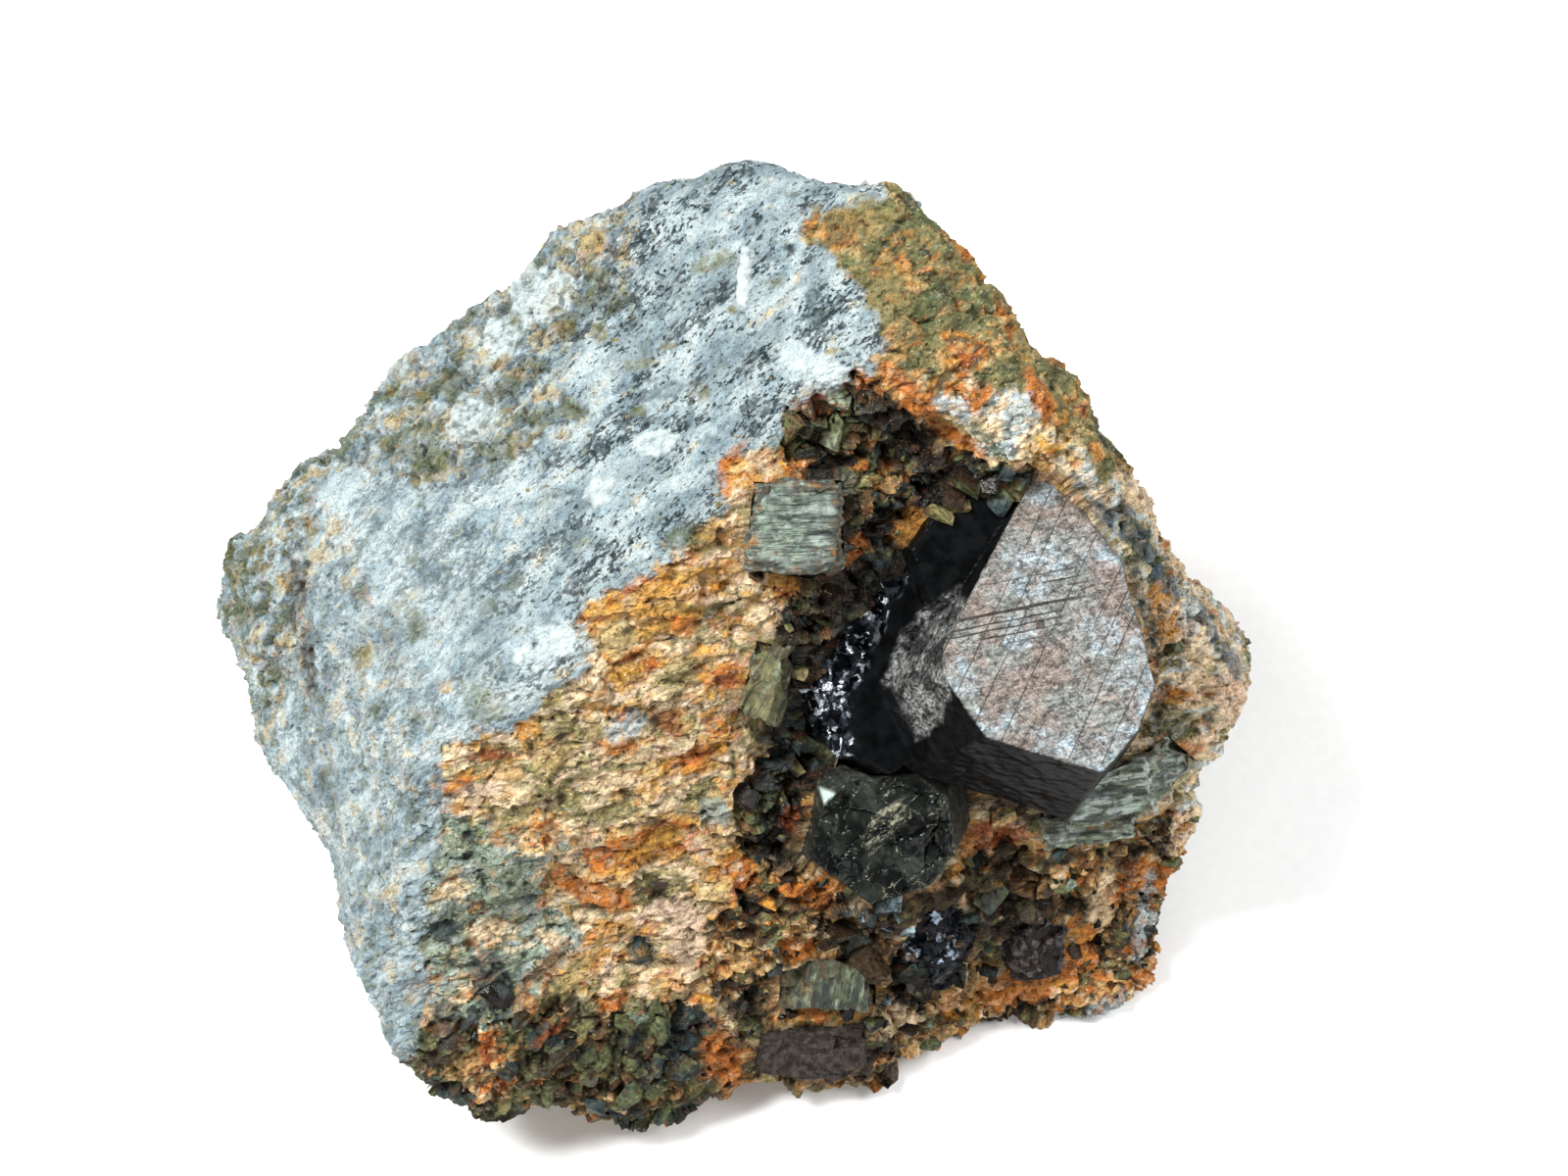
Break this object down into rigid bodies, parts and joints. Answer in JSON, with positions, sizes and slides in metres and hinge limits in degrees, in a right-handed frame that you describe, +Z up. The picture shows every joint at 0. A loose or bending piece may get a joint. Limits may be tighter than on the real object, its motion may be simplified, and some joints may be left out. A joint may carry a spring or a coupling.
{
  "type": "ilmenite crystal specimen on rock matrix",
  "caption": "Broken block of rusty and pale feldspar rock with dark, steel-grey ilmenite crystals and green amphibole set in its front.",
  "frame": {"origin": "middle of the bounding box, at the flat underside", "axes": "+Z up from the surface the block rests on, -Y towards the side with the crystals, +X to the right of it"},
  "size_m": [0.0632, 0.0502, 0.0442],
  "materials": {
    "rock": "matt broken rock, white on top and rust-stained in front",
    "ilmenite_steel": "semi-metallic steel grey crystal faces",
    "ilmenite_black": "glassy black crystal faces",
    "ilmenite_brown": "dull brown-black crystal",
    "amphibole_pale": "silky grey-green, striated",
    "amphibole_dark": "dark green, striated"
  },
  "bodies": {
    "root": {"rock_matrix": "rock", "ilmenite_cluster": "ilmenite_steel", "ilmenite_lower": "ilmenite_black", "ilmenite_shadowed": "ilmenite_black", "ilmenite_corner": "ilmenite_black", "ilmenite_foot": "ilmenite_brown", "amphibole_slab": "amphibole_pale", "amphibole_rib": "amphibole_dark", "amphibole_blades": "amphibole_pale", "amphibole_blades_at_foot": "amphibole_dark"}
  },
  "joints": []
}
